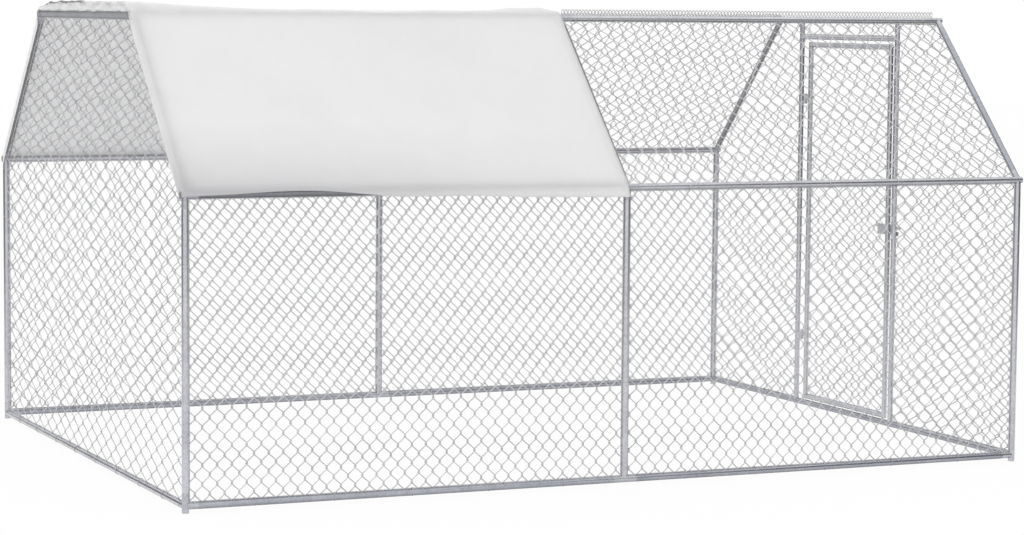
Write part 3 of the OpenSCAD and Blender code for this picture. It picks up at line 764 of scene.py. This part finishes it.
tarp = {
    "over": 0.0020,  # height over the tubes
    "thick": 0.0012,
    "eaveLift": 0.006,  # extra height over the eave rails
    "hemDrop": (0.002, 0.041),  # how far the front hem hangs under the rail's middle, left and right
    "hemSteep": 160.0,  # degrees round the rail at which the hem hangs off
    "pull": (-1.99, 0.92, 0.025),  # front hem pulled up the slope: from, over, by
    "pullShape": (1.25, 1.5),
    "ripple": (-1.03, -0.48, 0.004),  # a smaller pull: from, to, by
    "backWave": (0.006, 4),  # wave of the back hem: height, pace along the bay
    "softBend": 0.060,  # length of the slope that takes part in the eave's bend
    "sag": 0.007,
    "roll": 0.050,  # length of the top that takes part in the crown's bend
    "frontRidge": [  # place along the bay, height over the crown rail's middle
        (-2.0, 0.050), (-1.86, 0.047), (-1.74, 0.042), (-1.52, 0.034), (-1.30, 0.029), (-1.02, 0.029),
        (-0.92, 0.022), (-0.55, 0.029), (-0.33, 0.031), (-0.22, 0.044), (-0.08, 0.045), (0.0, 0.028),
    ],
    "backRidge": 0.028,
    "leastRidge": 0.002,
    "top": 0.026,  # height over the middle of the crown
    "topRise": (0.026, 0.3),  # extra height at the left end, and how far it reaches
    "topEase": 5,  # how flat the top lies between its ridges
    "overhang": 0.001,  # how far the sheet reaches past its solid at the middle rafters
    "flap": 0.030,  # margin that turns over the end rafters
    "flapRoom": (0.010, 0.15),  # height at which the margin ends on the crown, least share of it
    "hem": 0.026,
    "hemThick": 0.0009,
    "hemStep": 0.003,
    "crownBand": (-0.03, 0.012),  # heights about the crown rails where the crown's folds begin
    "eaveBand": (-0.02, 0.12),  # heights about the eave rails where the slopes' folds begin
    "slack": (0.0030, 0.05),  # soft folds on the slopes: height, how far past the sheet they fade out
    "pucker": (0.0022, 0.085, 1.5),  # folds by the hems near the middle posts: height, pitch, lean
    "puckerSpan": (-0.48, 0.02, 0.22),  # from, to, reach up the slope
    "crease": (0.006, 0.20),  # creases at the crown's left end: height, reach
    "crownSlack": (0.002, 3),  # soft folds on the crown: height, fineness
    "ragged": (0.010, 0.06),  # crumpled left edge on the crown: depth, reach
    "raggedPace": (2, 14, 2.6),  # of its creases along the bay, down the margin, across the crown
    "flatCorner": (0.22, 0.02),  # from the back crown rail: where that edge starts to lie flat, and does
    "ruffleWaves": [  # share, then two crossing waves: pace along the bay, pace across, start
        (1.0, (5.1, 2.3, 0.0), (-1.9, 3.7, 0.6)),
        (0.6, (11.3, -4.7, 1.1), (3.1, 7.9, 0.0)),
        (0.3, (23.0, 9.0, 2.0), (-12.0, 17.0, 0.0)),
    ],
    "crumpleWaves": [  # share, pace along the bay, pace across, start
        (1.0, 31.0, 13.0, 0.7), (-1.0, -27.0, 19.0, 1.9), (0.6, 22.0, 47.0, 0.0), (-0.6, 61.0, -15.0, 0.4),
    ],
    "columns": 140,
    "rows": 280,
    "closeColumns": (0.14, 3),  # width at the left edge with closer columns, how much closer
    "closeRows": (0.02, 1.5),  # the same for rows on the crown and a little way down the slopes
    "bendSteps": 40,  # points worked out on a bend, on a slope, on the crown, on a whole section
    "slopeSteps": 120,
    "crownSteps": 121,
    "sectionSteps": 900,
    "spacingSteps": 2000,
}


def smooth(a, b, x):
    t = np.clip((x - a) / (b - a), 0, 1)
    return t * t * (3 - 2 * t)


def bump(a, b, x):  # one smooth hump between a and b
    t = np.clip((x - a) / (b - a), 0, 1)
    return np.sin(np.pi * t) ** 2


def fade(distance, reach):
    return np.exp(-distance / reach)


def alongBay(x):  # 0 at the left end, 1 at the middle rafters
    return min(max((x + endX) / endX, 0), 1)


def frontRidge(x):
    places, heights = zip(*tarp["frontRidge"])
    return float(np.interp(x, places, heights))


def middleTop(x):
    rise, reach = tarp["topRise"]
    return tarp["top"] + rise * fade(x + endX, reach)


def hemLift(x):  # how far the front hem is pulled up
    start, span, height = tarp["pull"]
    lean, narrow = tarp["pullShape"]
    rippleStart, rippleEnd, rippleHeight = tarp["ripple"]
    pulled = min(max((x - start) / span, 0), 1)
    main = height * math.sin(math.pi * pulled ** lean) ** narrow
    return main + rippleHeight * bump(rippleStart, rippleEnd, x)


def softCurve(a, b, c):  # a bend from a to c with its corner at b
    t = np.linspace(0, 1, tarp["bendSteps"])[:, None]
    return (1 - t) ** 2 * np.array(a) + 2 * t * (1 - t) * np.array(b) + t ** 2 * np.array(c)


def halfSection(x, drop, ridge):  # the sheet across one slope, from its hem to the top of its ridge
    r = tubeR + tarp["over"]
    low = r + tarp["eaveLift"]
    uphill = np.array((math.cos(slope), math.sin(slope)))
    outward = np.array((-math.sin(slope), math.cos(slope)))
    eave, crown = np.array((-sideY, eaveZ)), np.array((-crownY, crownZ))
    steep = math.radians(tarp["hemSteep"])
    middle = (steep + math.pi / 2 + slope) / 2
    spread = (steep - math.pi / 2 - slope) / 2
    corner = low / math.cos(spread) * np.array((math.cos(middle), math.sin(middle)))
    downhill = np.array((-math.sin(steep), math.cos(steep)))
    hem = corner + (corner[1] + drop) / math.cos(steep - math.pi) * downhill
    foot = softCurve(eave + hem, eave + corner, eave + corner + tarp["softBend"] * uphill)
    first = (tarp["softBend"] - low * math.tan(spread)) / slopeLength
    t = np.linspace(first, 1, tarp["slopeSteps"])[1:, None]
    sag = tarp["sag"] * math.sin(math.pi * alongBay(x))
    lift = r + tarp["eaveLift"] * (1 - t) - sag * np.sin(np.pi * (t - first) / (1 - first))
    face = eave + t * slopeLength * uphill + lift * outward
    start = crown + r * outward
    peak = start + max(ridge - r * math.cos(slope), tarp["leastRidge"]) / math.sin(slope) * uphill
    top = softCurve(start, peak, peak + np.array((tarp["roll"], 0)))[1:]
    return np.concatenate([foot, face, top])


def sectionLine(x):  # the sheet's path across the bay at x, from the front hem to the back hem
    left, right = tarp["hemDrop"]
    waveHeight, wavePace = tarp["backWave"]
    front = halfSection(x, left + alongBay(x) * (right - left), frontRidge(x))
    back = halfSection(x, left, tarp["backRidge"])[::-1] * np.array((-1, 1))
    middle = crownZ + middleTop(x)
    u = np.linspace(-1, 1, tarp["crownSteps"])[1:-1]
    ends = np.where(u < 0, front[-1, 1], back[0, 1])
    topY = front[-1, 0] + (u + 1) / 2 * (back[0, 0] - front[-1, 0])
    topZ = middle + (ends - middle) * np.abs(u) ** tarp["topEase"]
    path = np.concatenate([front, np.stack([topY, topZ], 1), back])
    run = np.concatenate([[0], np.cumsum(np.hypot(*np.diff(path, axis=0).T))])
    last = run[-1] - waveHeight * math.sin(wavePace * x) ** 2
    cut = np.linspace(hemLift(x), last, tarp["sectionSteps"])
    return np.interp(cut, run, path[:, 0]), np.interp(cut, run, path[:, 1]), cut[-1] - cut[0]


def ruffle(x, s):  # soft unevenness of slack cloth, from -1 to 1
    total, shares = 0, 0
    for share, (a, b, c), (d, e, f) in tarp["ruffleWaves"]:
        total = total + share * np.sin(a * x + b * s + c) * np.sin(d * x + e * s + f)
        shares += share
    return total / shares


def crumple(x, s):  # sharp small creases, from -1 to 1
    total, shares = 0, 0
    for share, a, b, c in tarp["crumpleWaves"]:
        total = total + share * np.abs(np.sin(a * x + b * s + c))
        shares += max(share, 0)
    return total / shares


def edgeSpaced(total, count, low, high, boost):  # closer lines from low to high and at the hems' steps
    inset = tarp["hem"] + tarp["hemStep"]
    even = np.linspace(inset, total - inset, tarp["spacingSteps"])
    run = np.cumsum(np.where((even > low) & (even < high), 1 + boost, 1.0))
    edge = np.array([0, tarp["hem"] / 2, tarp["hem"]])
    inner = np.interp(np.linspace(run[0], run[-1], count - 2 * len(edge)), run, even)
    return np.concatenate([edge, inner, total - edge[::-1]])


def onHem(at, total):
    inset = tarp["hem"] + tarp["hemStep"] / 2
    return (at < inset) | (at > total - inset)


def turnOver(a, r):  # place along the bay and drop under the section's line, at a across the flat sheet
    flap, turn = tarp["flap"], math.pi / 2 * r
    if a < flap:
        return -endX - r, flap - a + r
    if a < flap + turn:
        angle = (a - flap) / r
        return -endX - r * math.cos(angle), r - r * math.sin(angle)
    return -endX + a - flap - turn, 0.0


def slopeFolds(x, s, fromHem, right):
    height, past = tarp["slack"]
    loose = height * ruffle(x, s) * bump(-endX - past, right + past, x) ** 0.5
    height, pitch, lean = tarp["pucker"]
    start, end, reach = tarp["puckerSpan"]
    wave = np.sin(2 * np.pi * x / pitch + lean * s)
    return loose + height * bump(start, end, x) * fade(fromHem, reach) * wave


def crownFolds(x, s):
    height, reach = tarp["crease"]
    sharp = height * fade(max(x + endX, 0), reach) * (1 + crumple(x, s))
    height, fineness = tarp["crownSlack"]
    return sharp + height * (1 + ruffle(fineness * x, fineness * s))


def raggedEdge(x, y, s, down):  # how far the left edge is pushed out where it crumples on the crown
    depth, reach = tarp["ragged"]
    alongPace, downPace, acrossPace = tarp["raggedPace"]
    start, end = tarp["flatCorner"]
    creases = 1 + crumple(alongPace * x + downPace * down, acrossPace * s)
    return depth * fade(max(x + endX, 0), reach) * creases * (1 - smooth(crownY - start, crownY - end, y))


def layColumn(a, r, width, right):  # one line of the sheet across the bay: places, flat places, length
    x, down = turnOver(a, r)
    lineY, lineZ, length = sectionLine(max(x, -endX))
    past, boost = tarp["closeRows"]
    s = edgeSpaced(length, tarp["rows"], slopeLength - past, length - slopeLength + past, boost)
    steps = np.arange(len(lineY))
    at = s / length * steps[-1]
    y, z = np.interp(at, steps, lineY), np.interp(at, steps, lineZ)
    ty, tz = np.gradient(y, s), np.gradient(z, s)
    ny, nz = -tz / np.hypot(ty, tz), ty / np.hypot(ty, tz)
    crownLow, crownHigh = tarp["crownBand"]
    eaveLow, eaveHigh = tarp["eaveBand"]
    onCrown = smooth(crownZ + crownLow, crownZ + crownHigh, z)
    onSlope = (1 - onCrown) * smooth(eaveZ + eaveLow, eaveZ + eaveHigh, z)
    flapEnd, leastShare = tarp["flapRoom"]
    room = np.clip((z - crownZ - flapEnd) / (tarp["flap"] + r), leastShare, 1)
    turned = down * (1 - onCrown * (1 - room))  # the margin ends at the crown tie's top
    fromHem = np.where(y < 0, s, length - s)
    folds = onSlope * slopeFolds(x, s, fromHem, right) + onCrown * crownFolds(x, s)
    seam = np.where(onHem(s, length) | onHem(a, width), tarp["hemThick"], 0.0)
    shift = folds + seam - turned
    pushed = onCrown * raggedEdge(x, y, s, down)
    placed = np.stack([x - pushed, y + shift * ny, z + shift * nz], 1)
    return placed, np.stack([np.full_like(s, a), s], 1), length


def makeTarp():
    r = tubeR + tarp["over"]
    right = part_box("roof_tarp")[1][0] + tarp["overhang"]
    width = tarp["flap"] + math.pi / 2 * r + right + endX
    flat = edgeSpaced(width, tarp["columns"], 0, *tarp["closeColumns"])
    columns, rows = tarp["columns"], tarp["rows"]
    clearSelection()
    bpy.ops.mesh.primitive_grid_add(x_subdivisions=columns - 1, y_subdivisions=rows - 1, size=1)
    sheet = bpy.context.object
    sheet.name = "roofTarp"
    spot = np.zeros(len(sheet.data.vertices) * 3)
    sheet.data.vertices.foreach_get("co", spot)
    spot = spot.reshape(-1, 3)
    column = np.rint((spot[:, 0] + 0.5) * (columns - 1)).astype(int)
    row = np.rint((spot[:, 1] + 0.5) * (rows - 1)).astype(int)
    placed, drawn = np.zeros((columns, rows, 3)), np.zeros((columns, rows, 2))
    for i, a in enumerate(flat):
        placed[i], drawn[i], length = layColumn(a, r, width, right)
    sheet.data.vertices.foreach_set("co", placed[column, row].ravel())
    corners = np.zeros(len(sheet.data.loops), dtype=np.int32)
    sheet.data.loops.foreach_get("vertex_index", corners)
    sheet.data.uv_layers[0].data.foreach_set("uv", drawn[column, row][corners].ravel())
    sheet.data.update()
    bpy.ops.object.mode_set(mode="EDIT")
    bpy.ops.mesh.select_all(action="SELECT")
    bpy.ops.mesh.normals_make_consistent(inside=False)
    bpy.ops.object.mode_set(mode="OBJECT")
    if sheet.data.polygons[len(sheet.data.polygons) // 2].normal.z < 0:
        sheet.data.flip_normals()
    bpy.ops.object.modifier_add(type="SOLIDIFY")
    sheet.modifiers[-1].thickness = tarp["thick"]
    sheet.modifiers[-1].offset = 1
    bpy.ops.object.modifier_apply(modifier=sheet.modifiers[-1].name)
    bpy.ops.object.shade_smooth()
    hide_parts("roof_tarp")
    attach(sheet, "frame")
    print("tarpaulin laid:", round(width, 3), "x", round(float(length), 3), "m flat")
    return sheet


tarpFinish = {
    "white": (0.845, 0.845, 0.850, 1),
    "grey": (0.49, 0.49, 0.505, 1),
    "weave": {"Scale": 66.847, "Distortion": 0.6},  # about 213 tapes to the metre
    "weaveShare": 0.06,  # of the relief
    "creases": {"Scale": 7.0, "Detail": 6.0, "Roughness": 0.62},
    "relief": {"Strength": 0.22, "Distance": 0.004},
    "dust": {"Scale": 1.6, "Detail": 4.0, "Roughness": 0.55},
    "dustLevel": 0.42,
    "dustAmount": 0.42,
    "greyAcross": 2.3,  # darker towards the left edge, fading out this far from it
    "greyAlong": 0.42,  # and towards the front hem, fading out this far up from it
    "greyPower": 1.4,
    "rough": 0.52,
    "roughSpread": 0.12,
    "glow": {  # light that passes inside the cloth
        "Subsurface Weight": 0.55, "Subsurface Radius": (1.0, 1.0, 1.0), "Subsurface Scale": 0.012,
    },
    "foldAcross": ((0.036, 0.006), (0.056, 0.006)),  # painted shadow line along the fold at the crown's left end: each edge's start and width, across and along the flat sheet
    "foldAlong": ((1.72, 0.12), (2.62, 0.04)),  # start and width, across and along the flat sheet
    "foldShade": (0.20, 0.20, 0.20, 1),
}


def fadeOut(tree, value, reach):  # 1 at no distance, 0 at reach
    return mathNode(tree, "SUBTRACT", 1.0, mathNode(tree, "DIVIDE", value, reach), clamp=True)


def band(tree, value, edges):  # 1 between two soft edges
    ramps = [addNode(tree, "ShaderNodeMapRange", {"Value": value, 1: start, 2: start + width}).outputs[0]
             for start, width in edges]
    return mathNode(tree, "SUBTRACT", *ramps)


def makeTarpFinish():
    finish = bpy.data.materials.new("wovenTarpaulin")
    tree = newTree(finish)
    drawn = addNode(tree, "ShaderNodeUVMap").outputs["UV"]
    part = addNode(tree, "ShaderNodeSeparateXYZ", {"Vector": drawn})
    across, along = part.outputs["X"], part.outputs["Y"]
    tapes = [addNode(tree, "ShaderNodeTexWave", {"Vector": drawn, **tarpFinish["weave"]},
                     bands_direction=way) for way in ("X", "Y")]
    weave = mathNode(tree, "MULTIPLY", *[tape.outputs["Fac"] for tape in tapes])
    creases = addNode(tree, "ShaderNodeTexNoise", {"Vector": drawn, **tarpFinish["creases"]})
    dust = addNode(tree, "ShaderNodeTexNoise", {"Vector": drawn, **tarpFinish["dust"]}).outputs["Fac"]
    hemward = fadeOut(tree, along, tarpFinish["greyAlong"])
    hemward = mathNode(tree, "POWER", hemward, tarpFinish["greyPower"])
    leftward = fadeOut(tree, across, tarpFinish["greyAcross"])
    dusty = mathNode(tree, "SUBTRACT", dust, tarpFinish["dustLevel"])
    dusty = mathNode(tree, "MULTIPLY", dusty, tarpFinish["dustAmount"])
    # darker towards the front hem and the left end, with random dust patches
    greying = mathNode(tree, "MULTIPLY_ADD", hemward, leftward, dusty, clamp=True)
    tone = mixColour(tree, greying, tarpFinish["white"], tarpFinish["grey"])
    foldBands = band(tree, across, tarpFinish["foldAcross"]), band(tree, along, tarpFinish["foldAlong"])
    foldShadow = mathNode(tree, "MULTIPLY", *foldBands, clamp=True)
    # painted shadow: a dark line along the crumpled fold at the crown's left end
    foldShadowed = mixColour(tree, foldShadow, tone, tarpFinish["foldShade"], "MULTIPLY")
    spread = tarpFinish["roughSpread"]
    rough = mathNode(tree, "MULTIPLY_ADD", dust, spread, tarpFinish["rough"] - spread / 2)
    height = mathNode(tree, "MULTIPLY_ADD", weave, tarpFinish["weaveShare"], creases.outputs["Fac"])
    relief = addNode(tree, "ShaderNodeBump", {"Height": height, **tarpFinish["relief"]})
    cloth = addNode(tree, "ShaderNodeBsdfPrincipled", {
        "Base Color": foldShadowed, "Roughness": rough, "Normal": relief.outputs[0], **tarpFinish["glow"],
    })
    addNode(tree, "ShaderNodeOutputMaterial", {"Surface": cloth.outputs[0]})
    return finish


paint(makeTarp(), makeTarpFinish())


# Finishes of the frame's own solids

def dressFrame():
    slots = {row["node"]: row["material_slot"] for row in frame["record"]["subparts"]}
    bySlot = {"tube": "galvanisedTube", "connector": "galvanisedJoint", "hardware": "zincHardware"}
    shadowedNodes = ("eave_front_left", "rafter_front_middle", "rafter_back_middle")  # painted shadow: darker tubes under the sheet's edges
    for node, piece in frame["nodes"].items():
        if slots[node] not in bySlot:
            continue
        name = bySlot[slots[node]]
        if node.startswith(("door_", "leaf_")):
            name = "doorTube"
        elif node in shadowedNodes:
            name = "shadowedTube"
        # painted shade: the sills and the front right rafter take a darker copy of the tube finish
        elif node.startswith(("sill_", "rafter_front_right")) and node != "sill_left_end":
            name = "shadedTube"
        # painted shade: the left crown tie takes a darker, duller copy of the tube finish
        elif node == "crown_tie_left":
            name = "gableTube"
        # painted shade: rafters, crown rails and ties take the finish with dark painted undersides
        elif node.startswith(("rafter_", "crown_rail_", "crown_tie_")):
            name = "roofTube"
        if not piece.material_slots:
            piece.data.materials.append(finishes[name])
        for slot in piece.material_slots:
            slot.material = finishes[name]


dressFrame()
print("frame dressed")
